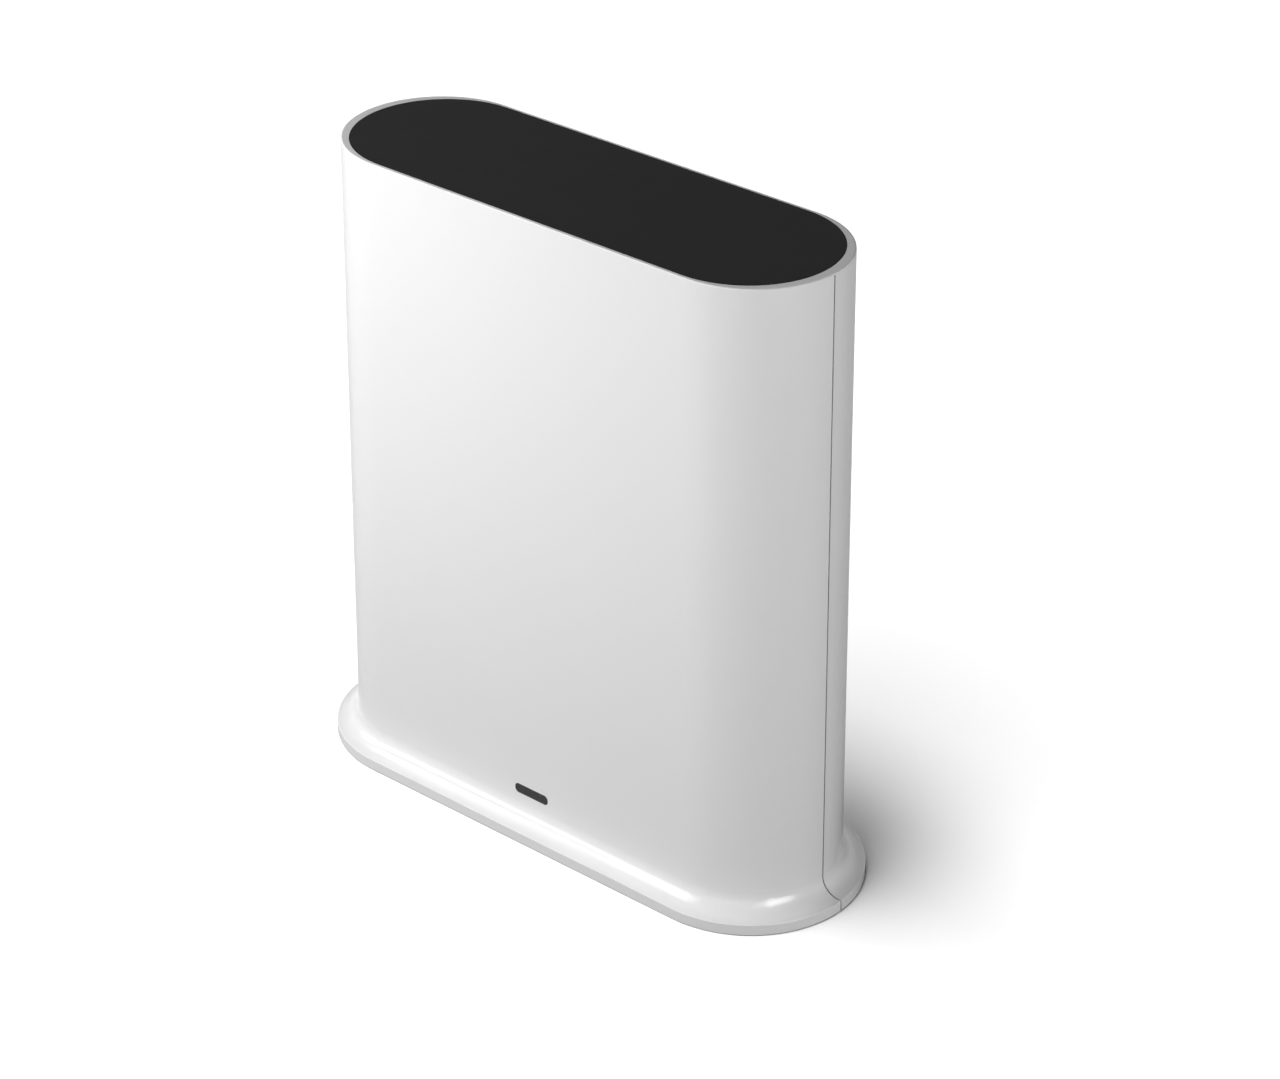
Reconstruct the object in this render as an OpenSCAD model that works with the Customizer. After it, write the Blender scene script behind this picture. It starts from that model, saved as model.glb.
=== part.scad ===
// Security camera base station: an upright hub with a round-ended plan, a flared foot,
// a black top panel set in a thin rim, and a port bay low on the back.
// Millimetres. +Z up, +X along the length, front towards -Y, origin on the floor under the centre.

/* [Housing] */
// Height from the floor to the rim
height = 144.2; // [130:0.1:165]
// Depth of the body between its flat front and back
body_depth = 40.2; // [38:0.2:46]
// Length over the foot
foot_length = 136.4; // [130:0.2:146]
// Length over the rim at the top
top_length = 122.6; // [117:0.2:126]
// Wall of the two shells
wall = 2; // [1.6:0.1:2.6]
// How far the foot stands out from the wall
flange_out = 4.9; // [4.5:0.1:7]
// Thickness of the foot at its edge
flange_thick = 2.45; // [2:0.05:3]
// Radius of the flare from the wall to the foot
flare_r = 4.05; // [3:0.05:4.4]
// Rounding of the foot's upper edge
foot_edge_r = 0.15; // [0.1:0.05:0.5]
// Rounding of the rim's outer edge
rim_edge_r = 0.3; // [0.1:0.05:0.6]
// How far the rubber feet stand below the base
foot_proud = 0.2; // [0.15:0.05:1]

/* [Top panel] */
// Width of the white rim along the straight sides
rim_side = 0.7; // [0.6:0.05:1.1]
// Width of the white rim at the round ends
rim_end = 2.1; // [1.9:0.05:2.6]
// Thickness of the black panel
panel_thick = 1.6; // [1.2:0.1:2.2]
// How far the ledge under the panel stands in from the wall
ledge_in = 1.2; // [1:0.1:2]
// Height of the ledge under the panel
ledge_h = 3.2; // [2:0.1:5]
// Thickness of the panel's inner skirt and clips
skirt_thick = 1.2; // [0.8:0.1:1.6]
// Length of each clip
clip_len = 8; // [5:0.5:12]
// Spacing of the clips along the length
clip_pitch = 50; // [30:1:64]

/* [Seam] */
// Width of the groove where the shells meet
seam_w = 0.35; // [0.15:0.05:0.5]
// Depth of that groove
seam_depth = 0.55; // [0.2:0.05:0.6]
// Length of the rear shell's locating tongue
tongue_len = 1.5; // [1:0.1:3]
// Thickness of the tongue
tongue_thick = 0.7; // [0.5:0.05:0.9]

/* [Base] */
// Thickness of the base plate
base_thick = 2; // [1.6:0.1:2.2]
// Width of the foot's underside outside the base plate
base_rim = 4.8; // [4.4:0.1:5.4]
// Height of the pads over the base screws
pad_h = 1.5; // [1.2:0.1:2.5]
// Diameter of a rubber foot
foot_d = 10; // [7:0.5:11]
// Depth of a rubber foot's pocket
foot_pocket = 0.8; // [0.4:0.1:1]
// Length of a vent slot
vent_len = 16; // [8:1:20]
// Width of a vent slot
vent_w = 1.8; // [1.2:0.1:2.4]
// Number of vent slots
vent_count = 9; // [3:2:11]
// Spacing of the vent slots
vent_pitch = 5; // [4:0.25:6]
// Place of the base screws along the length, from the end arc's centre
base_screw_in = 3; // [1:0.5:6]
// Place of the base screws from the middle plane
base_screw_y = 13; // [12:0.25:13.5]
// Height of the shells' screw bosses
base_boss_h = 9; // [7:0.5:9.5]

/* [Port bay] */
// Width of the recess that holds the ports
bay_w = 82; // [80:1:84]
// Height of the recess
bay_h = 17; // [16:0.25:19]
// Depth of the recess
bay_depth = 1.4; // [0.8:0.1:2]
// Height of the ports' centre line
bay_z = 19.5; // [19.2:0.1:22]
// Corner radius of the recess
bay_corner = 3; // [1.5:0.25:5]
// Gap between a connector and its cut-out
port_gap = 0.25; // [0.15:0.05:0.4]
// How far the connectors' faces lie below the recess floor
port_sink = 0.2; // [0.1:0.05:0.4]
// Place of the power inlet
dc_x = 31; // [30:0.25:32]
// Place of the network socket
lan_x = 13; // [12:0.25:14]
// Place of the drive socket
usb_x = -7.5; // [-8.5:0.25:-6.5]
// Place of the reset hole
reset_x = -20; // [-20.5:0.25:-19]
// Place of the sync button
sync_x = -32; // [-33:0.25:-31]

/* [Connectors] */
// Width of the network socket's shield
lan_w = 16.2; // [15.8:0.1:17]
// Height of the network socket's shield
lan_h = 13.6; // [13:0.1:14.4]
// Thickness of the sheet metal
sheet = 0.35; // [0.25:0.05:0.45]
// Width of the network plug cavity
plug_w = 11.8; // [11.6:0.05:12.2]
// Height of the network plug cavity
plug_h = 7; // [6.7:0.05:7.2]
// Depth of the network plug cavity
plug_depth = 12; // [11:0.25:12.5]
// Width of the drive socket's shell
usb_w = 13.2; // [12.8:0.1:13.8]
// Height of the drive socket's shell
usb_h = 5.8; // [5.4:0.1:6.4]
// Thickness of the drive socket's tongue
usb_tongue_t = 1.84; // [1.6:0.02:2]
// Side of the power inlet's block
dc_block = 10.6; // [10:0.1:11.2]
// Diameter of the power inlet's nose
dc_nose_d = 8.8; // [8.4:0.1:9.4]
// Diameter of the power inlet's bore
dc_bore_d = 6.4; // [6:0.1:6.8]
// Diameter of the power inlet's pin
dc_pin_d = 2; // [1.6:0.1:2.5]
// Depth of the power inlet's bore
dc_depth = 9.5; // [8:0.25:10.5]

/* [Buttons] */
// Diameter of the sync button
sync_d = 8.5; // [7.5:0.1:9]
// How far the sync button stands out of the recess floor
sync_proud = 0.7; // [0.65:0.05:1]
// Travel of the sync button
sync_travel = 0.6; // [0.4:0.05:0.6]
// Gap round a button or plunger
button_gap = 0.2; // [0.1:0.02:0.25]
// Diameter of the reset hole
reset_hole_d = 1.6; // [1.2:0.1:2]
// Distance from the panel to the reset plunger
reset_sink = 2; // [1:0.1:4]
// Side of a tact switch
switch_side = 6; // [5:0.1:6.4]
// Height of a tact switch
switch_h = 3.4; // [3:0.1:4]
// Diameter of a switch plunger
plunger_d = 3.5; // [3:0.1:3.8]

/* [Board] */
// Width of the main board
board_w = 92; // [88:0.5:96]
// Height of the main board's lower edge
board_bottom = 8.5; // [8:0.1:9.2]
// From the rim down to the main board's upper edge
board_drop = 32.5; // [30:0.5:36]
// Thickness of the main board
board_t = 1.6; // [1.2:0.1:2]
// Front face of the main board, behind the middle plane
board_y = 2; // [1:0.1:3]
// Place of the board screws from the middle
board_screw_x = 40; // [39:0.25:41]
// Diameter of a screw boss
boss_d = 6; // [5.4:0.1:6.4]
// Diameter of a screw's shank
screw_d = 2.4; // [2:0.1:2.6]
// Diameter of a screw's head
screw_head_d = 4.8; // [4.2:0.1:5]
// Height of a screw's head
screw_head_h = 1.4; // [1:0.1:1.6]
// Length of a screw's shank
screw_len = 9; // [8:0.25:9.5]

/* [Cooling and radio] */
// From the board's upper edge down to the heat sink's centre
sink_drop = 48; // [46:0.5:50]
// Width of the heat sink
sink_w = 50; // [44:0.5:56]
// Height of the heat sink
sink_h = 42; // [38:0.5:46]
// Thickness of the heat sink's plate
sink_t = 2.2; // [1.6:0.1:3]
// Number of fins
fin_count = 9; // [5:1:11]
// Thickness of a fin
fin_t = 1.2; // [0.8:0.1:1.6]
// Free space between the fins and the front wall
fin_clear = 7; // [4:0.5:10]
// Side of the processor
cpu_side = 15; // [12:0.5:18]
// Height of the processor over the board
cpu_h = 1.2; // [1.1:0.05:1.6]
// Thickness of the thermal pad
thermal_t = 0.6; // [0.4:0.05:1]
// Width of a radio shield
shield_w = 28; // [24:0.5:30]
// Height of a radio shield
shield_h = 14; // [12:0.5:15]
// How far a radio shield stands off the board
shield_rise = 2.4; // [2:0.1:3]
// Place of the radio shields from the middle
shield_x = 20; // [18:0.5:21]
// Place of the metal antennas from the middle
antenna_x = 33; // [31:0.5:35]
// Height of a metal antenna over the board
antenna_h = 14; // [10:0.5:16]
// Reach of a metal antenna's arm towards the front
antenna_arm = 9; // [6:0.5:12]
// Length of the antenna board under the top panel
strip_len = 60; // [56:1:70]
// Depth of the antenna board
strip_depth = 10; // [9:0.5:12]
// Thickness of the antenna board
strip_t = 0.8; // [0.6:0.1:1.2]
// Length of the posts that hold the antenna board
post_len = 5; // [4:0.25:7]
// Diameter of the antenna cable
cable_d = 1.2; // [0.8:0.1:1.4]

/* [Board parts] */
// Width of a memory chip
memory_w = 8; // [6:0.5:9]
// Height of a memory chip
memory_h = 12; // [10:0.5:14]
// Thickness of a memory or radio chip
chip_t = 0.9; // [0.6:0.05:1]
// Gap between the processor and a memory chip
memory_gap = 2; // [1:0.25:3]
// Side of a radio chip
radio_side = 7; // [5:0.5:9]
// From the board's upper edge down to the radio shields
shield_drop = 8; // [7.5:0.25:9]
// Width of the network transformer
transformer_w = 15; // [12:0.5:16]
// Height of the network transformer
transformer_h = 11; // [9:0.5:12]
// Thickness of the network transformer
transformer_t = 5; // [3:0.25:6]
// From the port bay up to the network transformer's centre
transformer_up = 12; // [11:0.25:14]
// Diameter of a capacitor
can_d = 6.3; // [5:0.1:6.8]
// Height of a capacitor
can_h = 7.7; // [5:0.1:9]
// Gap between the capacitors
can_gap = 1.2; // [0.6:0.1:2]
// Side of the power inductor
coil_side = 8; // [6:0.25:9]
// Height of the power inductor
coil_h = 4; // [3:0.25:5]
// Diameter of the heat sink's posts
sink_post_d = 5; // [4.4:0.1:6]
// How far the heat sink screws reach in from the back of the board
sink_reach = 4; // [3.4:0.1:4.4]
// Width of a metal antenna
antenna_w = 9; // [7:0.5:10]
// Thickness of a metal antenna
antenna_t = 0.4; // [0.3:0.05:0.6]
// Height of a metal antenna's soldered foot
antenna_foot = 4; // [3:0.25:5]
// Slack of the antenna cable
cable_slack = 3; // [1:0.25:4]

/* [Status light] */
// Width of the window on the front
window_w = 9.2; // [7:0.1:12]
// Height of the window
window_h = 2.25; // [1.6:0.05:2.8]
// Height of the window's centre
window_z = 9.8; // [9.6:0.1:12]
// Corner radius of the window
window_corner = 0.95; // [0.6:0.05:1]
// Overlap of the window's flange behind the wall
window_flange = 1.2; // [0.8:0.1:1.4]
// Gap round the window
window_gap = 0.05; // [0.03:0.01:0.1]

/* [Fits] */
// Gap between housing pieces
fit_gap = 0.15; // [0.08:0.01:0.25]
// Gap between a screw and its hole
screw_gap = 0.05; // [0.03:0.01:0.1]

/* [Hidden] */
$fn = 64;
through = 60;
overlap = 0.5;

// Half depth of the body and centres of the round ends at the foot and at the rim
body_r = body_depth / 2;
inner_r = body_r - wall;
foot_r = body_r + flange_out;
foot_a = foot_length / 2 - foot_r;
top_a = top_length / 2 - body_r;
lean = (top_a - foot_a) / (height - foot_proud);

// Levels of the base and of the top panel
flange_z = foot_proud + flange_thick;
base_top = foot_proud + base_thick;
boss_z = base_top + pad_h;
opening_r = foot_r - base_rim;
opening_slope = 3;
panel_z = height - panel_thick;
panel_r = body_r - rim_side;
panel_a = top_length / 2 - rim_end - panel_r;
ledge_r = inner_r - ledge_in;
ledge_z = panel_z - ledge_h;
skirt_r = ledge_r - 2 * fit_gap;
clip_drop = 1.6;
clip_out = 0.8;
pad_wall = 1.2;
head_sink = 0.6;
counterbore = screw_head_h + head_sink;

// Planes of the port bay and of the main board
bay_floor = body_r - bay_depth;
bay_back = bay_floor - wall;
port_face = bay_floor - port_sink;
board_back = board_y + board_t;
board_corner = 2;
boss_gap = 1;
board_top = height - board_drop;
board_screw_low = bay_z + bay_h / 2 + wall + boss_d / 2 + boss_gap;
board_screw_high = board_top - boss_d;
base_screw_x = foot_a - base_screw_in;

// The stack on the front of the board, from the chip to the tips of the fins
sink_z = board_top - sink_drop;
cpu_y = board_y - cpu_h;
pad_y = cpu_y - thermal_t;
sink_y = pad_y - sink_t;
fin_tip = -inner_r + fin_clear;
shield_z = board_top - shield_drop - shield_h / 2;
sink_screw_in = 4;
sink_screw_x = sink_w / 2 - sink_screw_in;
sink_screw_z = sink_h / 2 - sink_screw_in;
lid_side = 0.8 * cpu_side;

// The status light's window, bar and lamp
window_sink = 0.05;
window_flange_t = 1;
pipe_gap = 0.2;
led_w = 3.2;
led_h = 1.6;
led_rise = 0.9;

// The sync button's flange and the tips of the two switch plungers
sync_flange_t = 1;
sync_flange_out = 1;
sync_flange_r = sync_d / 2 + sync_flange_out;
sync_flange_y = bay_back - port_gap;
stem_d = plunger_d + 0.5;
switch_floor = 0.6;
plunger_room = 0.3;
plunger_root = board_back + switch_floor + sync_travel + plunger_room;
plunger_out = 1.4;
sync_tip = board_back + switch_h + plunger_out;
reset_tip = bay_back - reset_sink;

// Parts inside the sockets
moulding_gap = 0.02;
plug_up = 0.6;
spring_drop = 2.4;
spring_inset = 2.5;
usb_tongue_up = 0.9;
usb_block_d = 3;
pin_inset = 1.2;
pin_collar = 0.6;

// Levels of the antenna parts
strip_z = panel_z - post_len;
post_d = 4;
peg_d = 2;
peg_out = 0.4;
plug_d = 2.4;
collar_h = 0.6;
collar_wall = 0.3;
plug_gap = 0.8;
plug_z = board_top - shield_drop + plug_d / 2 + plug_gap;
post_in = 3;
cable_in = 8;
cable_rise = 1;
cable_x = strip_len / 2 - cable_in;
cable_y = board_y - cable_rise;

// Shared shapes

// A rectangle with round corners, centred
module rounded(w, h, corner) {
  square([w - 2 * corner, h], center = true);
  square([w, h - 2 * corner], center = true);
  for (x = [-1, 1], y = [-1, 1])
    translate([x * (w / 2 - corner), y * (h / 2 - corner)]) circle(corner);
}

// A bar with round ends, centred, along X
module stadium(a, r) {
  square([2 * a, 2 * r], center = true);
  for (side = [-1, 1]) translate([side * a, 0]) circle(r);
}

// Stands an X-Z outline up and thickens it from one Y to another
module along_y(y0, y1) {
  translate([0, y1, 0]) rotate([90, 0, 0]) linear_extrude(y1 - y0) children();
}

// Thickens a Y-Z outline along X, centred
module along_x(length) {
  rotate([90, 0, 90]) linear_extrude(length, center = true) children();
}

// A round bar along Y
module rod_y(d, y0, y1) {
  along_y(y0, y1) circle(d / 2);
}

// A block standing on the front or the back of the main board, given by its size across the board
module board_block(w, h, y0, y1) {
  along_y(y0, y1) square([w, h], center = true);
}

// Housing sections

// Section of the housing's outside: straight wall, flare, foot and rounded edges
module outer_section() {
  edge_x = foot_r - foot_edge_r;
  translate([0, foot_proud]) {
    square([body_r, height - foot_proud - rim_edge_r]);
    square([body_r - rim_edge_r, height - foot_proud]);
    square([edge_x, flange_thick]);
    square([foot_r, flange_thick - foot_edge_r]);
  }
  translate([body_r - rim_edge_r, height - rim_edge_r]) circle(rim_edge_r);
  translate([edge_x, flange_z - foot_edge_r]) circle(foot_edge_r);
  difference() {
    translate([body_r - overlap, flange_z - overlap])
      square([flare_r + overlap, flare_r + overlap]);
    translate([body_r + flare_r, flange_z + flare_r]) circle(flare_r);
  }
}

// Section of the inside: base opening, straight wall and the ledge under the top panel
module inner_section() {
  polygon([[0, 0], [opening_r, 0], [opening_r, base_top], [inner_r, base_top + opening_slope],
           [inner_r, ledge_z - ledge_in], [ledge_r, ledge_z], [ledge_r, height + overlap],
           [0, height + overlap]]);
}

// Leans a round end in from the foot to the rim
module lean_in() {
  multmatrix([[1, 0, lean, -lean * foot_proud], [0, 1, 0, 0], [0, 0, 1, 0], [0, 0, 0, 1]])
    children();
}

// Runs a section round the back half of the plan: a quarter turn at each end and a straight between
module back_half() {
  spare = 6;
  for (side = [0, 1]) mirror([side, 0, 0]) intersection() {
    translate([foot_a, 0, 0]) lean_in() {
      rotate_extrude(angle = 90) children();
      translate([-foot_a - spare, 0, 0]) rotate([90, 0, 90])
        linear_extrude(foot_a + spare) children();
    }
    translate([0, -through, -overlap]) cube([foot_length, 2 * through, height + 2]);
  }
}

// One bare half of the housing, on the back
module half_housing() {
  difference() {
    back_half() difference() {
      outer_section();
      inner_section();
    }
    panel_recess();
    for (side = [0, 1]) mirror([side, 0, 0]) seam_groove();
  }
}

// The recess that the top panel lies in
module panel_recess() {
  translate([0, 0, panel_z]) linear_extrude(2 * panel_thick) stadium(panel_a, panel_r);
}

// The fine groove down one end where the two shells meet
module seam_groove() {
  top_land = rim_edge_r + 0.05;
  translate([foot_a, 0, 0]) lean_in() along_y(-seam_w / 2, seam_w / 2) difference() {
    square([foot_r + overlap, height - top_land]);
    translate([-seam_depth, -seam_depth]) outer_section();
    square([body_r - seam_depth, height]);
  }
}

// The locating tongue down one end of the rear shell
module tongue(gap) {
  low = base_top + opening_slope + 1;
  high = ledge_z - ledge_in - 1;
  inset = (wall - seam_depth - tongue_thick) / 2;
  translate([foot_a + inner_r + inset - gap, -tongue_len - gap, 0]) lean_in()
    translate([0, 0, low - gap])
      cube([tongue_thick + 2 * gap, tongue_len + gap + overlap, high - low + 2 * gap]);
}

// A boss for a base screw, tied to the flat wall by a rib
module base_boss() {
  translate([base_screw_x, base_screw_y, boss_z]) difference() {
    union() {
      cylinder(d = boss_d, h = base_boss_h);
      translate([-boss_d / 4, 0, 0])
        cube([boss_d / 2, inner_r + wall / 4 - base_screw_y, base_boss_h]);
    }
    translate([0, 0, -overlap]) cylinder(d = screw_d + 2 * screw_gap, h = base_boss_h);
  }
}

// The base screws' bosses of one shell, on the back
module base_bosses() {
  for (side = [0, 1]) mirror([side, 0, 0]) base_boss();
}

// Places of the four base screws
module at_base_screws() {
  for (x = [-1, 1], y = [-1, 1])
    translate([x * base_screw_x, y * base_screw_y, 0]) children();
}

// Places of the four board screws
module at_board_screws() {
  for (x = [-1, 1], z = [board_screw_low, board_screw_high])
    translate([x * board_screw_x, 0, z]) children();
}

// Places of the two heat sink screws
module at_sink_screws() {
  for (side = [-1, 1])
    translate([side * sink_screw_x, 0, sink_z + side * sink_screw_z]) children();
}

// Places of the four rubber feet, inside the round ends
module at_feet() {
  foot_x = foot_a + opening_r / 2;
  foot_y = 0.4 * opening_r;
  for (x = [-1, 1], y = [-1, 1])
    translate([x * foot_x, y * foot_y, 0]) children();
}

// Housing pieces

// Front half of the housing, with the slot for the status window
module front_shell() {
  color("white") difference() {
    union() {
      mirror([0, 1, 0]) half_housing();
      mirror([0, 1, 0]) base_bosses();
    }
    for (side = [0, 1]) mirror([side, 0, 0]) tongue(fit_gap);
    translate([0, 0, window_z]) along_y(-body_r - 1, -inner_r + 1)
      window_outline(window_gap);
  }
}

// Back half of the housing, with the port bay, the board's bosses and the locating tongues
module rear_shell() {
  color("white") difference() {
    union() {
      half_housing();
      base_bosses();
      for (side = [0, 1]) mirror([side, 0, 0]) tongue(0);
      translate([0, 0, bay_z]) along_y(bay_back, inner_r + wall / 4)
        rounded(bay_w + 2 * wall, bay_h + 2 * wall, bay_corner + wall);
      at_board_screws() rod_y(boss_d, board_back, inner_r + wall / 4);
    }
    translate([0, 0, bay_z]) along_y(bay_floor, body_r + 1) rounded(bay_w, bay_h, bay_corner);
    translate([0, 0, bay_z]) along_y(bay_back - 1, bay_floor + 1) port_cutouts();
    at_board_screws()
      rod_y(screw_d + 2 * screw_gap, board_back - overlap, board_back + screw_len + overlap);
  }
}

// Openings in the bay's floor, on the ports' centre line
module port_cutouts() {
  translate([dc_x, 0]) circle(d = dc_nose_d + 2 * port_gap);
  translate([lan_x, 0]) square([lan_w + 2 * port_gap, lan_h + 2 * port_gap], center = true);
  translate([usb_x, 0]) square([usb_w + 2 * port_gap, usb_h + 2 * port_gap], center = true);
  translate([reset_x, 0]) circle(d = reset_hole_d);
  translate([sync_x, 0]) circle(d = sync_d + 2 * button_gap);
}

// Black panel in the rim, with a skirt, four clips and two posts for the antenna board
module top_panel() {
  color("#2b2b2b") {
    translate([0, 0, panel_z]) linear_extrude(panel_thick)
      stadium(panel_a, panel_r - fit_gap);
    translate([0, 0, ledge_z]) linear_extrude(panel_z - ledge_z + overlap) difference() {
      stadium(panel_a, skirt_r);
      stadium(panel_a, skirt_r - skirt_thick);
    }
    for (x = [-1, 1], side = [0, 1])
      translate([x * clip_pitch / 2, 0, 0]) mirror([0, side, 0]) clip();
    at_strip_posts() {
      translate([0, 0, strip_z]) cylinder(d = post_d, h = post_len + overlap);
      translate([0, 0, strip_z - strip_t - peg_out])
        cylinder(d = peg_d, h = strip_t + peg_out + overlap);
    }
  }
}

// One clip of the top panel, with a barb that catches under the ledge
module clip() {
  barb_z = ledge_z - ledge_in - fit_gap;
  along_x(clip_len) polygon([
    [skirt_r - skirt_thick, ledge_z + 1], [skirt_r, ledge_z + 1],
    [skirt_r, barb_z], [skirt_r + clip_out, barb_z],
    [skirt_r, barb_z - clip_drop], [skirt_r - skirt_thick, barb_z - clip_drop]]);
}

// Places of the two posts under the top panel
module at_strip_posts() {
  for (side = [-1, 1]) translate([side * (strip_len / 2 - post_in), 0, 0]) children();
}

// Plate that closes the housing from below, with vents, screw pads and pockets for the feet
module base_plate() {
  color("#e4e4e2") difference() {
    union() {
      translate([0, 0, foot_proud]) linear_extrude(base_thick)
        stadium(foot_a, opening_r - fit_gap);
      at_base_screws() translate([0, 0, foot_proud])
        cylinder(d = screw_head_d + 2 * pad_wall, h = base_thick + pad_h);
    }
    at_base_screws() {
      cylinder(d = screw_d + 4 * fit_gap, h = boss_z + overlap);
      cylinder(d = screw_head_d + 4 * fit_gap, h = foot_proud + counterbore);
    }
    at_feet() cylinder(d = foot_d, h = foot_proud + foot_pocket);
    for (i = [0 : vent_count - 1])
      translate([(i - (vent_count - 1) / 2) * vent_pitch, 0, 0])
        linear_extrude(base_top + overlap) rotate(90) stadium((vent_len - vent_w) / 2, vent_w / 2);
  }
}

// Four rubber feet in the base plate's pockets
module rubber_feet() {
  color("#333333") at_feet() {
    cylinder(d1 = foot_d - 2 * foot_proud - fit_gap, d2 = foot_d - fit_gap, h = foot_proud);
    translate([0, 0, foot_proud]) cylinder(d = foot_d - fit_gap, h = foot_pocket);
  }
}

// A pan-head screw that points up from z = 0, with a cross recess
module screw() {
  recess = screw_head_d / 2;
  slot_w = 0.6;
  slot_depth = screw_head_h / 2;
  difference() {
    union() {
      translate([0, 0, -screw_head_h]) cylinder(d = screw_head_d, h = screw_head_h);
      cylinder(d = screw_d, h = screw_len);
    }
    for (turn = [0, 90]) rotate(turn)
      translate([-recess / 2, -slot_w / 2, -screw_head_h - overlap])
        cube([recess, slot_w, slot_depth + overlap]);
  }
}

// Screws up through the base plate into the shells' bosses
module base_screws() {
  color("silver") at_base_screws() translate([0, 0, foot_proud + counterbore]) screw();
}

// Screws through the main board into the rear shell's bosses
module board_screws() {
  color("silver") at_board_screws() translate([0, board_y, 0]) rotate([-90, 0, 0]) screw();
}

// Status light

// Outline of the window, grown by a gap
module window_outline(gap) {
  rounded(window_w + 2 * gap, window_h + 2 * gap, window_corner + gap);
}

// Smoked window in the front wall, with a flange behind it
module light_window() {
  color("#424242") translate([0, 0, window_z]) {
    along_y(-body_r + window_sink, -inner_r) window_outline(0);
    along_y(-inner_r, -inner_r + window_flange_t) window_outline(window_flange);
  }
}

// Clear bar that carries the light from the lamp to the window
module light_pipe() {
  color("whitesmoke") translate([0, 0, window_z])
    along_y(-inner_r + window_flange_t, board_y - led_rise - pipe_gap)
      window_outline(-window_h / 8);
}

// Lamp on the board's lower edge
module status_led() {
  color("khaki") translate([0, 0, window_z]) {
    board_block(led_w, led_h, board_y - led_rise / 2, board_y);
    board_block(0.75 * led_w, 0.75 * led_h, board_y - led_rise, board_y - led_rise / 4);
  }
}

// Main board

// The board, with screw holes
module main_board() {
  color("darkgreen") difference() {
    along_y(board_y, board_back) translate([0, (board_bottom + board_top) / 2])
      rounded(board_w, board_top - board_bottom, board_corner);
    at_board_screws() rod_y(screw_d + 4 * fit_gap, board_y - 1, board_back + 1);
    at_sink_screws() rod_y(screw_d + 4 * fit_gap, board_y - 1, board_back + 1);
  }
}

// Processor under the heat sink: a substrate with a raised lid
module processor_chip() {
  color("#303030") translate([0, 0, sink_z]) {
    board_block(cpu_side, cpu_side, board_y - cpu_h / 2, board_y);
    board_block(lid_side, lid_side, cpu_y, board_y - cpu_h / 4);
  }
}

// Two memory chips beside the processor
module memory_chips() {
  chip_x = cpu_side / 2 + memory_gap + memory_w / 2;
  color("#282828") for (side = [-1, 1])
    translate([side * chip_x, 0, sink_z])
      board_block(memory_w, memory_h, board_y - chip_t, board_y);
}

// Soft pad between the processor and the heat sink
module thermal_pad() {
  color("lightsteelblue") translate([0, 0, sink_z])
    board_block(lid_side, lid_side, pad_y, cpu_y);
}

// Finned plate over the processor, on two threaded posts
module heat_sink() {
  pitch = (sink_w - fin_t) / (fin_count - 1);
  color("lightgray") difference() {
    union() {
      translate([0, 0, sink_z]) {
        board_block(sink_w, sink_h, sink_y, pad_y);
        for (i = [0 : fin_count - 1])
          translate([(i - (fin_count - 1) / 2) * pitch, 0, 0])
            board_block(fin_t, sink_h, fin_tip, sink_y + overlap);
      }
      at_sink_screws() rod_y(sink_post_d, pad_y - overlap, board_y);
    }
    at_sink_screws() rod_y(screw_d + 2 * screw_gap, sink_y - through, board_y + 1);
  }
}

// Short screws from the back of the board into the heat sink's posts
module heat_sink_screws() {
  color("silver") at_sink_screws() {
    rod_y(screw_head_d, board_back, board_back + screw_head_h);
    rod_y(screw_d, board_back - sink_reach, board_back + overlap);
  }
}

// Two folded steel cans over the radios, open to the board
module radio_shields() {
  color("silver") for (side = [-1, 1])
    translate([side * shield_x, 0, shield_z]) difference() {
      board_block(shield_w, shield_h, board_y - shield_rise, board_y);
      board_block(shield_w - 2 * sheet, shield_h - 2 * sheet,
                  board_y - shield_rise + sheet, board_y + 1);
    }
}

// The two radio chips inside the cans
module radio_chips() {
  color("#303030") for (side = [-1, 1])
    translate([side * shield_x, 0, shield_z])
      board_block(radio_side, radio_side, board_y - chip_t, board_y);
}

// Network transformer behind the socket
module network_transformer() {
  color("#202020") translate([lan_x, 0, bay_z + bay_h / 2 + transformer_up])
    board_block(transformer_w, transformer_h, board_back, board_back + transformer_t);
}

// Electrolytic cans by the power inlet
module capacitors() {
  first = board_screw_low + boss_d / 2 + can_d / 2 + can_gap;
  color("#3a3f55") for (i = [0 : 2])
    translate([dc_x, 0, first + i * (can_d + can_gap)])
      rod_y(can_d, board_back, board_back + can_h);
}

// Power inductor beside the capacitors: a square foot and a round core
module power_inductor() {
  place_x = dc_x - can_d / 2 - coil_side / 2 - 2 * can_gap;
  place_z = board_screw_low + boss_d + 2 * can_d;
  color("#4a4a4a") translate([place_x, 0, place_z]) {
    board_block(coil_side, coil_side, board_back, board_back + coil_h / 4);
    rod_y(coil_side - can_gap / 2, board_back + coil_h / 8, board_back + coil_h);
  }
}

// Ports

// Steel shield round the network socket
module network_shield() {
  color("silver") translate([lan_x, 0, bay_z]) along_y(board_back, port_face) difference() {
    square([lan_w, lan_h], center = true);
    square([lan_w - 2 * sheet, lan_h - 2 * sheet], center = true);
  }
}

// Plug cavity with its latch channel, below the centre
module plug_outline() {
  latch_w = 6.4;
  latch_h = 2.4;
  translate([0, plug_up]) square([plug_w, plug_h], center = true);
  translate([-latch_w / 2, plug_up - plug_h / 2 - latch_h])
    square([latch_w, latch_h + overlap]);
}

// Moulded inside of the network socket
module network_insert() {
  inset = 2 * (sheet + moulding_gap);
  color("#1e1e1e") translate([lan_x, 0, bay_z]) difference() {
    board_block(lan_w - inset, lan_h - inset, board_back, port_face - port_sink / 2);
    along_y(port_face - plug_depth, port_face + 1) plug_outline();
  }
}

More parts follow.
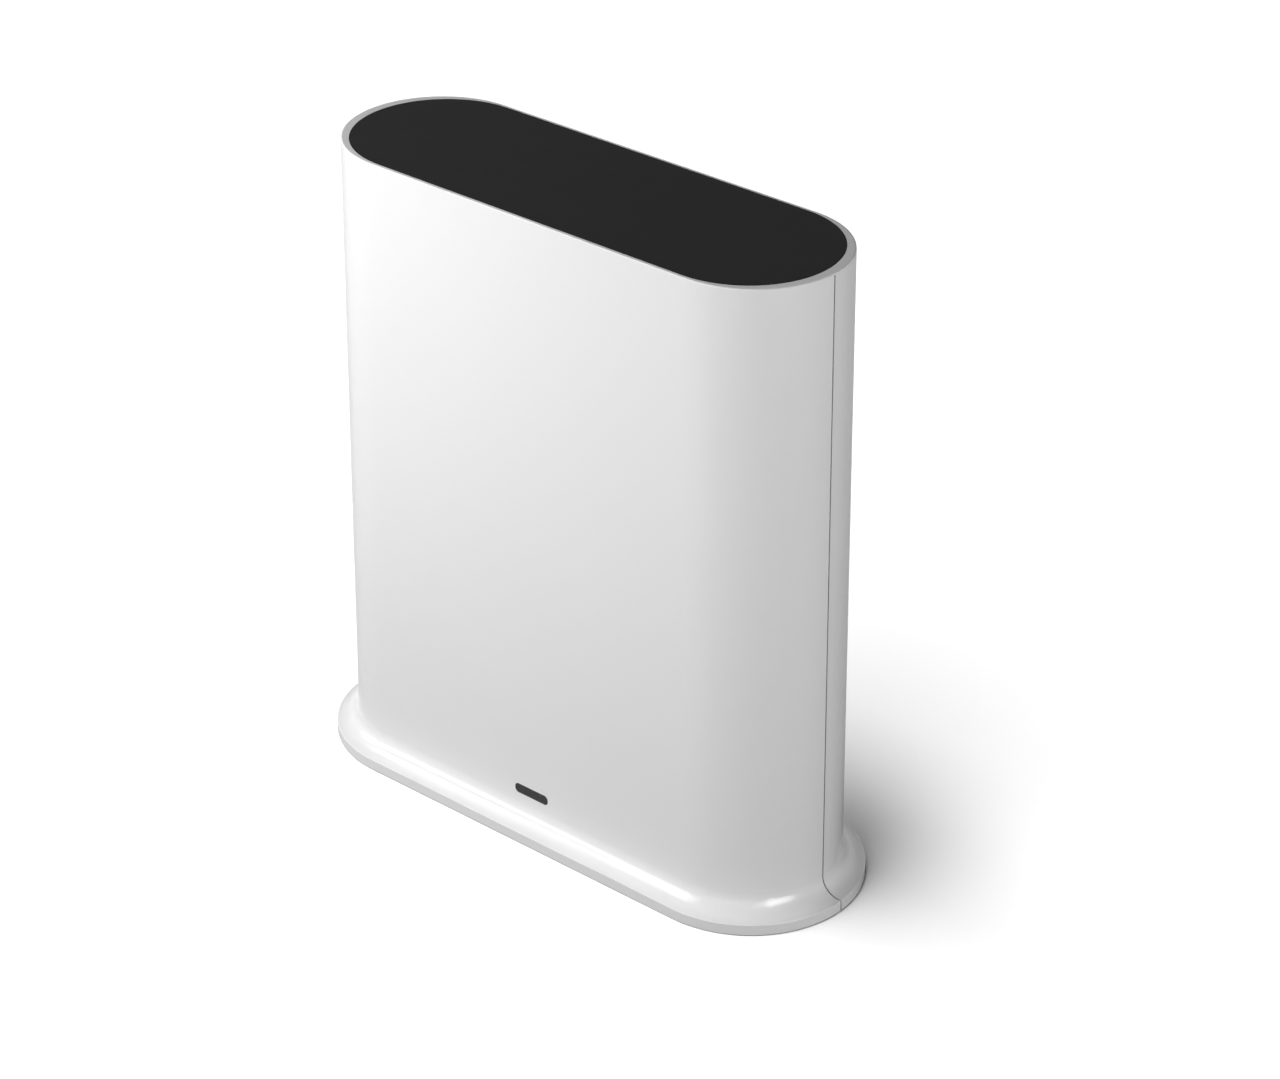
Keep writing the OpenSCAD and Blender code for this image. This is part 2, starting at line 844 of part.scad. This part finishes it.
// Eight spring contacts on the roof of the plug cavity
module network_contacts() {
  pitch = 1.02;
  wire = 0.4;
  back = port_face - plug_depth;
  front = port_face - spring_inset;
  roof = bay_z + plug_up + plug_h / 2;
  color("gold") for (i = [0 : 7])
    translate([lan_x + (i - 3.5) * pitch, 0, 0]) along_x(wire) polygon([
      [back, roof - spring_drop], [front, roof - wire], [front, roof],
      [front - 1.5 * wire, roof], [back, roof - spring_drop + 1.2 * wire]]);
}

// Steel shell of the drive socket
module usb_shell() {
  color("silver") translate([usb_x, 0, bay_z]) along_y(board_back, port_face) difference() {
    square([usb_w, usb_h], center = true);
    square([usb_w - 2 * sheet, usb_h - 2 * sheet], center = true);
  }
}

// Moulded tongue of the drive socket, on a block at the back of its shell
module usb_tongue() {
  inset = 2 * (sheet + moulding_gap);
  tongue_in = 1.1;
  color("#1e1e1e") translate([usb_x, 0, bay_z]) {
    board_block(usb_w - inset, usb_h - inset, board_back, board_back + usb_block_d);
    translate([0, 0, usb_tongue_up])
      board_block(usb_w - 2 * tongue_in, usb_tongue_t, board_back, port_face - tongue_in);
  }
}

// Four contact strips under the tongue
module usb_contacts() {
  strip_h = 0.25;
  strip_w = 1;
  strip_in = 2;
  inner_x = 1;
  outer_x = 3.5;
  strip_z = bay_z + usb_tongue_up - usb_tongue_t / 2 - strip_h / 2;
  color("gold") for (x = [-outer_x, -inner_x, inner_x, outer_x])
    translate([usb_x + x, 0, strip_z])
      board_block(strip_w, strip_h, board_back + usb_block_d, port_face - strip_in);
}

// Block and round nose of the power inlet
module power_inlet() {
  color("#1e1e1e") translate([dc_x, 0, bay_z]) difference() {
    union() {
      board_block(dc_block, dc_block, board_back, bay_back - port_gap);
      rod_y(dc_nose_d, board_back, port_face);
    }
    rod_y(dc_bore_d, port_face - dc_depth, port_face + 1);
    rod_y(dc_pin_d + 2 * screw_gap, board_back - overlap, port_face);
  }
}

// Centre pin of the power inlet, with a round tip
module power_pin() {
  tip = port_face - pin_inset;
  bore_floor = port_face - dc_depth;
  color("gold") translate([dc_x, 0, bay_z]) {
    rod_y(dc_pin_d, board_back, tip - dc_pin_d / 2);
    translate([0, tip - dc_pin_d / 2, 0]) sphere(d = dc_pin_d);
    rod_y(dc_pin_d + 2 * pin_collar, bore_floor, bore_floor + pin_collar);
  }
}

// Buttons

// Cap of the sync button, with a flange behind the panel and a stem to the switch
module sync_button() {
  face_edge = 0.35;
  face_y = bay_floor + sync_proud;
  color("#d9d9d7") translate([sync_x, 0, bay_z]) {
    rod_y(sync_d, sync_flange_y - overlap, face_y - face_edge);
    translate([0, face_y - face_edge, 0]) rotate([-90, 0, 0])
      cylinder(d1 = sync_d, d2 = sync_d - 2 * face_edge, h = face_edge);
    rod_y(2 * sync_flange_r, sync_flange_y - sync_flange_t, sync_flange_y);
    rod_y(stem_d, sync_tip, sync_flange_y - overlap);
  }
}

// Plunger of the switch under the sync button
module sync_plunger() {
  color("#222222") translate([sync_x, 0, bay_z]) rod_y(plunger_d, plunger_root, sync_tip);
}

// Switch under the sync button
module sync_switch() {
  color("#3a3a3a") translate([sync_x, 0, bay_z]) switch_body();
}

// Long plunger behind the reset hole
module reset_plunger() {
  color("#222222") translate([reset_x, 0, bay_z]) rod_y(plunger_d, plunger_root, reset_tip);
}

// Switch behind the reset hole
module reset_switch() {
  color("#3a3a3a") translate([reset_x, 0, bay_z]) switch_body();
}

// A square tact switch on the back of the board, with a round well for its plunger
module switch_body() {
  difference() {
    board_block(switch_side, switch_side, board_back, board_back + switch_h);
    rod_y(plunger_d + button_gap, board_back + switch_floor, board_back + switch_h + 1);
  }
}

// Antennas

// Bent metal strip on the board's upper edge: a foot, an upright and an arm towards the front
module metal_antenna() {
  top = board_top + antenna_h;
  low = board_top - antenna_foot;
  color("silver") along_x(antenna_w) polygon([
    [board_y, low], [board_y, top], [board_y - antenna_arm, top],
    [board_y - antenna_arm, top - antenna_t], [board_y - antenna_t, top - antenna_t],
    [board_y - antenna_t, low]]);
}

module antenna_left() {
  translate([-antenna_x, 0, 0]) metal_antenna();
}

module antenna_right() {
  translate([antenna_x, 0, 0]) metal_antenna();
}

// Antenna board on the posts under the top panel
module antenna_board() {
  color("darkgreen") difference() {
    translate([0, 0, strip_z - strip_t]) linear_extrude(strip_t)
      rounded(strip_len, strip_depth, 1);
    at_strip_posts() translate([0, 0, strip_z - strip_t - 1])
      cylinder(d = peg_d + 2 * screw_gap, h = strip_t + 2);
  }
}

// Thin cable from the antenna board down to the plug on the main board, in one slack S-curve
module antenna_cable() {
  sides = 8;
  rings = 24;
  low = plug_z + 2 * collar_h;
  high = strip_z - strip_t;
  centres = [for (i = [0 : rings]) let (t = i / rings)
    [cable_x, cable_y - cable_slack * t * t * (3 - 2 * t), low + t * (high - low)]];
  points = [for (c = centres, k = [0 : sides - 1])
    c + cable_d / 2 * [cos(360 * k / sides), sin(360 * k / sides), 0]];
  bands = [for (i = [0 : rings - 1], k = [0 : sides - 1]) let (n = (k + 1) % sides)
    [i * sides + k, (i + 1) * sides + k, (i + 1) * sides + n, i * sides + n]];
  ends = [[for (k = [0 : sides - 1]) k], [for (k = [sides - 1 : -1 : 0]) rings * sides + k]];
  color("#404040") polyhedron(points, concat(bands, ends));
}

// Small round plug that takes the cable to the main board
module antenna_plug() {
  color("gold") translate([cable_x, 0, plug_z]) {
    rod_y(plug_d, cable_y - cable_d / 2 - collar_wall, board_y);
    translate([0, cable_y, collar_h]) cylinder(d = cable_d + 2 * collar_wall, h = collar_h);
  }
}

front_shell();
rear_shell();
top_panel();
base_plate();
rubber_feet();
base_screws();
light_window();
light_pipe();
status_led();
main_board();
board_screws();
processor_chip();
memory_chips();
thermal_pad();
heat_sink();
heat_sink_screws();
radio_shields();
radio_chips();
network_shield();
network_insert();
network_contacts();
network_transformer();
usb_shell();
usb_tongue();
usb_contacts();
power_inlet();
power_pin();
sync_button();
sync_plunger();
sync_switch();
reset_plunger();
reset_switch();
capacitors();
power_inductor();
antenna_left();
antenna_right();
antenna_board();
antenna_cable();
antenna_plug();
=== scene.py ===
"""Looks of the security camera base station: a white two-shell hub with a black top panel."""

import math

import bpy
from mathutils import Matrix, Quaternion, Vector


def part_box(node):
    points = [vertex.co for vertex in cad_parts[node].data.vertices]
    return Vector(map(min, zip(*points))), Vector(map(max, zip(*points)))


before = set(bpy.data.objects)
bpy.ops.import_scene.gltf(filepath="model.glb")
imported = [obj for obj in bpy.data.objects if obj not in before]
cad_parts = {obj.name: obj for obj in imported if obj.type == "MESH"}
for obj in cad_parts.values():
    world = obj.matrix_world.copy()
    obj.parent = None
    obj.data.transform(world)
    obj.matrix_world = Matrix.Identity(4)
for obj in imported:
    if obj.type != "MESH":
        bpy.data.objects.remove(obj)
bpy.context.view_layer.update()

# Small lengths, in metres
MM = 0.001
UM = 0.000001

# The camera, fitted to the photograph's edges. Lens and sensor are in millimetres
CAMERA_PLACE = Vector((423.81, -484.22, 430.29)) * MM
CAMERA_AIM = Vector((9.95, 3.82, 65.70)) * MM
CAMERA_ROLL = math.radians(0.144)
LENS = 99.265
SENSOR = 36.0
CLIP_NEAR = 0.01
CLIP_FAR = 50

# The floor's width, and its grey where it is looked at, mirrored by the object, and bouncing light
FLOOR_SIZE = 8.0
FLOOR_WHITE = 0.8
FLOOR_MIRRORED = 0.35
FLOOR_BOUNCE = 0.08

# The fill from all sides, and the backdrop, which dims to the ceiling's grey as a ray's rise grows
WORLD_FILL = 0.03
BACKDROP_WHITE = 1.0
BACKDROP_LOW = 0.3
BACKDROP_HIGH = 0.6
CEILING = 0.2

# The noise in the finishes: patches per metre, its detail, and the middle range that is stretched
TONE_PATCHES = 45
GLOSS_PATCHES = 160
PATCH_DETAIL = 3
GRAIN_DETAIL = 2
NOISE_LOW = 0.3
NOISE_HIGH = 0.7

# Painted shade in the gaps of the white mouldings: how near a wall counts, how open dark and clear places
# are, the painted shade's tone
CREVICE_REACH = 0.6 * MM
CREVICE_SAMPLES = 6
CREVICE_DARK = 0.25
CREVICE_CLEAR = 0.7
CREVICE_SHADE_TONE = 0.24

# The satin band along the shells' top edge: its depth, its soft end, and the roughness that it adds
RIM_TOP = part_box("front_shell")[1][2]
RIM_BAND = 0.34 * MM
RIM_FADE = 0.06 * MM
RIM_SATIN = 0.7

# Where the lamps aim
MIDDLE = Vector((0, 0, 70)) * MM
LOW_MIDDLE = Vector((0, 0, 55)) * MM
UPPER_LEFT = Vector((-30, -20, 100)) * MM
UPPER_RIGHT = Vector((30, 0, 90)) * MM
CORNER = Vector((-45, -18, 125)) * MM

# Lamps without a mirror image, which would burn out the edges at a grazing view
DULL_LAMPS = ("right_low", "right_wide", "back_fill")

# How far the sharp edges of the small port pieces are rounded
SHARP_ANGLE = math.radians(40)
WELD_REACH = 1 * UM
ROUND_STEPS = 2
EDGE_ROUND = {
    "network_shield": 0.08 * MM,
    "network_insert": 0.15 * MM,
    "usb_shell": 0.08 * MM,
    "usb_tongue": 0.10 * MM,
    "power_inlet": 0.15 * MM,
}

# The large mouldings, whose flat and round walls run into small fillets
MOULDED = ("front_shell", "rear_shell", "top_panel", "base_plate")


def make_camera():
    """The photograph's own view."""
    data = bpy.data.cameras.new("view_camera")
    data.lens = LENS
    data.sensor_width = SENSOR
    data.clip_start = CLIP_NEAR
    data.clip_end = CLIP_FAR
    camera = bpy.data.objects.new("view_camera", data)
    bpy.context.scene.collection.objects.link(camera)
    camera.location = CAMERA_PLACE
    camera.rotation_mode = "QUATERNION"
    looking = (CAMERA_AIM - CAMERA_PLACE).to_track_quat("-Z", "Y")
    camera.rotation_quaternion = looking @ Quaternion((0, 0, 1), CAMERA_ROLL)
    bpy.context.scene.camera = camera


def toward(azimuth, elevation):
    """The unit vector from the object to a compass direction. Azimuth 0 is in front, 90 off the +X end."""
    turn = math.radians(azimuth)
    rise = math.radians(elevation)
    return Vector((math.sin(turn) * math.cos(rise), -math.cos(turn) * math.cos(rise), math.sin(rise)))


def new_lamp(name, kind, out):
    """A lamp that shines from the direction out toward the object."""
    lamp = bpy.data.objects.new(name, bpy.data.lights.new(name, kind))
    bpy.context.scene.collection.objects.link(lamp)
    lamp.rotation_mode = "QUATERNION"
    lamp.rotation_quaternion = (-out).to_track_quat("-Z", "Y")
    return lamp


def softbox(name, out, distance, size, watts, aim=MIDDLE):
    """A rectangular lamp that faces the point it aims at."""
    lamp = new_lamp(name, "AREA", out)
    lamp.location = aim + out * distance
    lamp.visible_camera = False
    lamp.data.shape = "RECTANGLE"
    lamp.data.size, lamp.data.size_y = size
    lamp.data.energy = watts
    return lamp


def broad_sun(name, out, spread, strength):
    """A soft sun as wide as the spread in degrees, for the floor's shadow."""
    lamp = new_lamp(name, "SUN", out)
    lamp.data.angle = math.radians(spread)
    lamp.data.energy = strength
    return lamp


def link_light(lamps, piece, state):
    """Ties lamps to one piece alone (INCLUDE) or to everything else (EXCLUDE)."""
    group = bpy.data.collections.new(piece.name + "_" + state.lower())
    group.objects.link(piece)
    group.collection_objects[0].light_linking.link_state = state
    for lamp in lamps:
        lamp.light_linking.receiver_collection = group


def new_material(name, kind):
    """A node material with one shader of a kind, and that shader."""
    material = bpy.data.materials.new(name)
    material.use_nodes = True
    tree = material.node_tree
    tree.nodes.clear()
    output = tree.nodes.new("ShaderNodeOutputMaterial")
    shader = tree.nodes.new(kind)
    tree.links.new(shader.outputs["BSDF"], output.inputs["Surface"])
    return material, shader


def maths(tree, operation, *operands):
    """The result of a maths node. An operand is a number, or the socket that gives one."""
    node = tree.nodes.new("ShaderNodeMath")
    node.operation = operation
    for place, operand in zip(node.inputs, operands):
        if isinstance(operand, float):
            place.default_value = operand
        else:
            tree.links.new(operand, place)
    return node.outputs["Value"]


def map_range(tree, value, span, target=(0.0, 1.0), interpolation="LINEAR"):
    """Carries a value from one span to another, and holds it past the ends."""
    node = tree.nodes.new("ShaderNodeMapRange")
    node.interpolation_type = interpolation
    for end, amount in zip(("From Min", "From Max", "To Min", "To Max"), (*span, *target)):
        node.inputs[end].default_value = amount
    tree.links.new(value, node.inputs["Value"])
    return node.outputs["Result"]


def height_in(tree, space):
    """The Z of one of the texture coordinates: a point's, or in the world a ray's rise."""
    place = tree.nodes.new("ShaderNodeTexCoord")
    axes = tree.nodes.new("ShaderNodeSeparateXYZ")
    tree.links.new(place.outputs[space], axes.inputs["Vector"])
    return axes.outputs["Z"]


def colour_socket(sockets, name):
    """The colour socket of a Mix node, which repeats each name for every kind of value."""
    return next(s for s in sockets if s.name == name and s.type == "RGBA")


def grey(value):
    """A neutral colour."""
    return (value, value, value)


def greys(dark, light):
    """Two neutral tones for a finish to drift between."""
    return grey(dark), grey(light)


def noise(tree, scale, detail):
    """A noise texture in the object's own space, in cycles per metre."""
    place = tree.nodes.new("ShaderNodeTexCoord")
    texture = tree.nodes.new("ShaderNodeTexNoise")
    texture.inputs["Scale"].default_value = scale
    texture.inputs["Detail"].default_value = detail
    tree.links.new(place.outputs["Object"], texture.inputs["Vector"])
    return texture.outputs["Fac"]


def tint(tree, source, dark, light):
    """A colour that drifts between two tones with a noise."""
    ramp = tree.nodes.new("ShaderNodeValToRGB")
    first, last = ramp.color_ramp.elements
    first.position = NOISE_LOW
    first.color = (*dark, 1)
    last.position = NOISE_HIGH
    last.color = (*light, 1)
    tree.links.new(source, ramp.inputs["Fac"])
    return ramp.outputs["Color"]


def add_grain(tree, shader, scale, depth):
    """A fine bump of the given depth in metres."""
    bump = tree.nodes.new("ShaderNodeBump")
    bump.inputs["Distance"].default_value = depth
    bump.inputs["Strength"].default_value = 1.0
    tree.links.new(noise(tree, scale, GRAIN_DETAIL), bump.inputs["Height"])
    tree.links.new(bump.outputs["Normal"], shader.inputs["Normal"])


def finish(name, tones, rough, grain, depth, drift=0.03, shine=0.5, metallic=0.0):
    """A surface whose tone and gloss drift a little, with a fine grain of so many bumps per metre."""
    material, shader = new_material(name, "ShaderNodeBsdfPrincipled")
    shader.inputs["Specular IOR Level"].default_value = shine
    shader.inputs["Metallic"].default_value = metallic
    tree = material.node_tree
    colour = tint(tree, noise(tree, TONE_PATCHES, PATCH_DETAIL), *tones)
    tree.links.new(colour, shader.inputs["Base Color"])
    patches = noise(tree, GLOSS_PATCHES, PATCH_DETAIL)
    gloss = map_range(tree, patches, (NOISE_LOW, NOISE_HIGH), (rough - drift, rough + drift))
    tree.links.new(gloss, shader.inputs["Roughness"])
    add_grain(tree, shader, grain, depth)
    return material


def paint_crevice_shade(tree, shader):
    """Paints shade into the narrow gaps: the base colour turns dark grey where light hardly reaches."""
    base = shader.inputs["Base Color"].links[0].from_socket
    near = tree.nodes.new("ShaderNodeAmbientOcclusion")
    near.samples = CREVICE_SAMPLES
    near.inputs["Distance"].default_value = CREVICE_REACH
    clear = map_range(tree, near.outputs["AO"], (CREVICE_DARK, CREVICE_CLEAR), interpolation="SMOOTHSTEP")
    mix = tree.nodes.new("ShaderNodeMix")
    mix.data_type = "RGBA"
    # Painted shade: the grey that the base colour in the gaps is mixed toward
    colour_socket(mix.inputs, "A").default_value = (*grey(CREVICE_SHADE_TONE), 1)
    tree.links.new(clear, mix.inputs["Factor"])
    tree.links.new(base, colour_socket(mix.inputs, "B"))
    tree.links.new(colour_socket(mix.outputs, "Result"), shader.inputs["Base Color"])


def satin_rim(tree, shader):
    """Leaves the top edge of the shells less glossy than their walls."""
    gloss = shader.inputs["Roughness"].links[0].from_socket
    start = RIM_TOP - RIM_BAND
    satin = map_range(tree, height_in(tree, "Object"), (start, start + RIM_FADE), (0.0, RIM_SATIN))
    tree.links.new(maths(tree, "ADD", gloss, satin), shader.inputs["Roughness"])


def finish_shells(material):
    """What the white shells have besides their finish: painted shade in the gaps and a satin top edge."""
    tree = material.node_tree
    shader = tree.nodes["Principled BSDF"]
    # Painted shade in the gaps, darkening the base colour
    paint_crevice_shade(tree, shader)
    satin_rim(tree, shader)


def make_materials():
    """One material for each slot of the record."""
    looks = {
        "white_plastic": dict(tones=greys(0.806, 0.812), rough=0.2, grain=5000, depth=0.7 * UM, drift=0.008),
        "black_panel": dict(
            tones=greys(0.0168, 0.0172), rough=0.6, grain=8000, depth=1.5 * UM, drift=0.008, shine=0.1),
        "base_plastic": dict(tones=greys(0.72, 0.75), rough=0.5, grain=2500, depth=8 * UM),
        "foot_rubber": dict(tones=greys(0.035, 0.045), rough=0.8, grain=2500, depth=20 * UM),
        "screw_steel": dict(tones=greys(0.55, 0.62), rough=0.32, grain=2500, depth=3 * UM, metallic=1.0),
        "smoked_window": dict(tones=greys(0.03, 0.034), rough=0.25, grain=1500, depth=1 * UM, shine=0.3),
        "clear_acrylic": dict(tones=greys(0.8, 0.85), rough=0.1, grain=800, depth=1 * UM),
        "led_resin": dict(
            tones=((0.75, 0.6, 0.2), (0.8, 0.66, 0.26)), rough=0.3, grain=1500, depth=1 * UM),
        "board_green": dict(
            tones=((0.01, 0.08, 0.03), (0.015, 0.1, 0.04)), rough=0.4, grain=900, depth=5 * UM),
        "chip_black": dict(tones=greys(0.02, 0.03), rough=0.55, grain=3000, depth=4 * UM),
        "thermal_rubber": dict(
            tones=((0.3, 0.34, 0.42), (0.34, 0.38, 0.46)), rough=0.8, grain=1500, depth=10 * UM),
        "sink_aluminium": dict(tones=greys(0.66, 0.74), rough=0.38, grain=1500, depth=4 * UM, metallic=1.0),
        "socket_steel": dict(tones=greys(0.6, 0.68), rough=0.25, grain=1800, depth=2 * UM, metallic=1.0),
        "socket_black": dict(tones=greys(0.02, 0.026), rough=0.45, grain=2500, depth=5 * UM),
        "contact_gold": dict(
            tones=((0.78, 0.55, 0.2), (0.86, 0.62, 0.26)),
            rough=0.25, grain=1500, depth=1 * UM, metallic=1.0),
        "button_grey": dict(tones=greys(0.62, 0.65), rough=0.45, grain=2500, depth=5 * UM),
        "capacitor_sleeve": dict(
            tones=((0.03, 0.035, 0.06), (0.04, 0.045, 0.08)), rough=0.35, grain=1500, depth=2 * UM),
        "cable_black": dict(tones=greys(0.03, 0.04), rough=0.5, grain=2500, depth=5 * UM),
    }
    materials = {slot: finish(slot, **look) for slot, look in looks.items()}
    finish_shells(materials["white_plastic"])
    return materials


def dress_nodes(materials):
    """Gives each node the finish of its slot. Blender may have added a number to the slot's name."""
    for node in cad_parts.values():
        slot = node.material_slots[0]
        plain_name = slot.material.name.split(".")[0]
        slot.material = materials[plain_name]


def soften_edges(name, width):
    """Rounds a node's sharp edges a little, as pressing or moulding leaves them."""
    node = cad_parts[name]
    weld = node.modifiers.new("weld", "WELD")
    weld.merge_threshold = WELD_REACH
    bevel = node.modifiers.new("bevel", "BEVEL")
    bevel.width = width
    bevel.segments = ROUND_STEPS
    bevel.limit_method = "ANGLE"
    bevel.angle_limit = SHARP_ANGLE
    even_shading(name)


def even_shading(name):
    """Lets a node's large faces set the shading, so that small fillets don't tilt it."""
    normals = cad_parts[name].modifiers.new("normals", "WEIGHTED_NORMAL")
    normals.mode = "FACE_AREA_WITH_ANGLE"
    normals.keep_sharp = True


def floor_level(tree):
    """The floor's grey for the ray that meets it: the camera's, one mirrored in the object, or light."""
    path = tree.nodes.new("ShaderNodeLightPath")
    looked = maths(tree, "MAXIMUM", path.outputs["Is Camera Ray"], path.outputs["Is Transmission Ray"])
    level = maths(tree, "MULTIPLY_ADD", looked, FLOOR_WHITE - FLOOR_BOUNCE, FLOOR_BOUNCE)
    return maths(tree, "MULTIPLY_ADD", path.outputs["Is Glossy Ray"], FLOOR_MIRRORED - FLOOR_BOUNCE, level)


def make_floor():
    """A pale floor: white where it is looked at away from the shadow, and dim where it bounces light."""
    bpy.ops.mesh.primitive_plane_add(size=FLOOR_SIZE)
    floor = bpy.context.object
    floor.name = "floor"
    material, paper = new_material("floor_white", "ShaderNodeBsdfDiffuse")
    tree = material.node_tree
    tree.links.new(floor_level(tree), paper.inputs["Color"])
    floor.data.materials.append(material)
    return floor


def backdrop_ray(tree):
    """1 for the rays that show the backdrop: the camera's, mirrored and transmitted ones."""
    path = tree.nodes.new("ShaderNodeLightPath")
    looked = maths(tree, "MAXIMUM", path.outputs["Is Camera Ray"], path.outputs["Is Glossy Ray"])
    return maths(tree, "MAXIMUM", looked, path.outputs["Is Transmission Ray"])


def make_world():
    """A soft fill for the object, and a backdrop that is white low down and dim overhead."""
    world = bpy.data.worlds.new("studio")
    bpy.context.scene.world = world
    world.use_nodes = True
    tree = world.node_tree
    tree.nodes.clear()
    fill = tree.nodes.new("ShaderNodeBackground")
    fill.inputs["Strength"].default_value = WORLD_FILL
    backdrop = tree.nodes.new("ShaderNodeBackground")
    heights = (BACKDROP_LOW, BACKDROP_HIGH)
    level = map_range(tree, height_in(tree, "Generated"), heights, (BACKDROP_WHITE, CEILING))
    tree.links.new(level, backdrop.inputs["Strength"])
    mix = tree.nodes.new("ShaderNodeMixShader")
    share, unseen, seen = mix.inputs
    tree.links.new(backdrop_ray(tree), share)
    tree.links.new(fill.outputs["Background"], unseen)
    tree.links.new(backdrop.outputs["Background"], seen)
    output = tree.nodes.new("ShaderNodeOutputWorld")
    tree.links.new(mix.outputs["Shader"], output.inputs["Surface"])


def make_boxes():
    """The soft boxes that light the object: keys and a glow at the upper left, and fills all round."""
    boxes = [
        softbox("key_side", toward(-62, 14), distance=0.45, size=(0.24, 0.14), watts=0.78, aim=UPPER_LEFT),
        softbox("key_front", toward(-30, 14), distance=0.45, size=(0.22, 0.14), watts=0.47, aim=UPPER_LEFT),
        softbox("key_high", toward(-60, 46), distance=0.45, size=(0.40, 0.14), watts=0.636, aim=UPPER_LEFT),
        softbox("glow_near", toward(-21, 26), distance=0.17, size=(0.08, 0.08), watts=0.075, aim=CORNER),
        softbox("glow_wide", toward(-10, 10), distance=0.21, size=(0.10, 0.10), watts=0.129, aim=CORNER),
        softbox("right_low", toward(76, 9), distance=0.5, size=(0.15, 0.15), watts=0.56),
        softbox("right_wide", toward(79, 9), distance=0.5, size=(0.26, 0.20), watts=0.09),
        softbox("right_front", toward(60, 15), distance=0.8, size=(0.25, 0.25), watts=0.69),
        softbox("right_high", toward(60, 30), distance=0.5, size=(0.20, 0.20), watts=0.34, aim=UPPER_RIGHT),
        softbox("front_fill", toward(25, 20), distance=0.8, size=(0.40, 0.40), watts=0.412),
        softbox("back_fill", toward(-135, 0), distance=0.8, size=(0.60, 0.09), watts=5.0, aim=LOW_MIDDLE),
    ]
    for lamp in boxes:
        lamp.visible_glossy = lamp.name not in DULL_LAMPS
    return boxes


def make_suns():
    """The suns that light the floor and draw its shadow."""
    return [
        broad_sun("floor_sun", toward(-20, 45), spread=70, strength=2.96),
        broad_sun("floor_front", toward(-20, 78), spread=15, strength=1.21),
        broad_sun("floor_side", toward(-80, 65), spread=15, strength=0.66),
        broad_sun("floor_top", toward(-80, 78), spread=15, strength=0.87),
    ]


def make_sheen():
    """A lamp with a mirror image only, for the second highlight on the front shell's flare."""
    sheen = softbox("right_sheen", toward(76, 4), distance=0.5, size=(0.22, 0.36), watts=1.70)
    sheen.visible_diffuse = False
    link_light([sheen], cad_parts["front_shell"], "INCLUDE")


def make_lights(floor):
    """Lamps for the object and suns for the floor, so that each gets its own level."""
    boxes = make_boxes()
    suns = make_suns()
    make_sheen()
    link_light(boxes, floor, "EXCLUDE")
    link_light(suns, floor, "INCLUDE")


bpy.context.scene.view_settings.view_transform = "Standard"
make_camera()
dress_nodes(make_materials())
for name, width in EDGE_ROUND.items():
    soften_edges(name, width)
for name in MOULDED:
    even_shading(name)
floor = make_floor()
make_world()
make_lights(floor)
